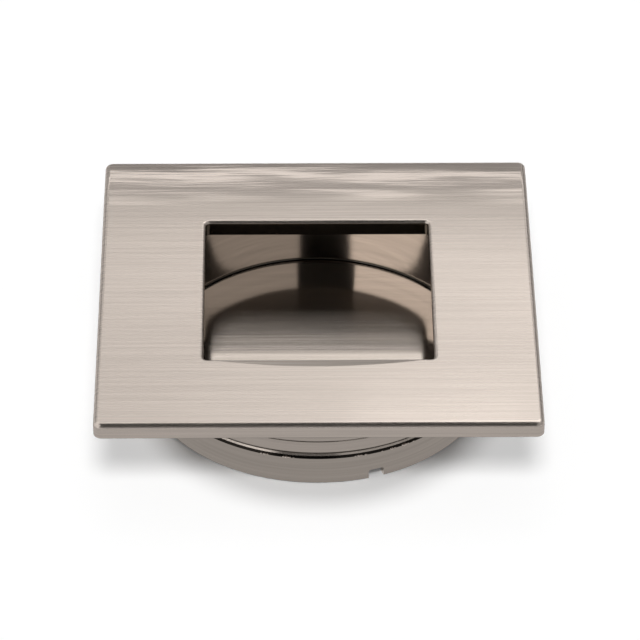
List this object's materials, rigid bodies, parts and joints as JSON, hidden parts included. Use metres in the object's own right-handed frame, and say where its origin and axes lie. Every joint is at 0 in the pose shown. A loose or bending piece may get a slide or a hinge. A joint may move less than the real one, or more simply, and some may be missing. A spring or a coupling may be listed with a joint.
{
  "type": "flush pull",
  "caption": "Square-faced flush pull on a round body for a sliding door, with a square finger opening over a wider round cup.",
  "frame": {"origin": "centre of the face plate's back, on the door's surface, on the round body's axis", "axes": "+Z out of the door along the body's axis; +Y across the opening, away from the eased edge that the finger pulls on; +X along the brushing"},
  "size_m": [0.05, 0.05, 0.0123],
  "materials": {
    "face_plate": "zinc alloy casting, satin nickel plated and brushed along X",
    "finger_cup": "zinc alloy casting, satin nickel plated"
  },
  "bodies": {
    "root": {"face_plate": "face_plate", "finger_cup": "finger_cup"}
  },
  "joints": []
}
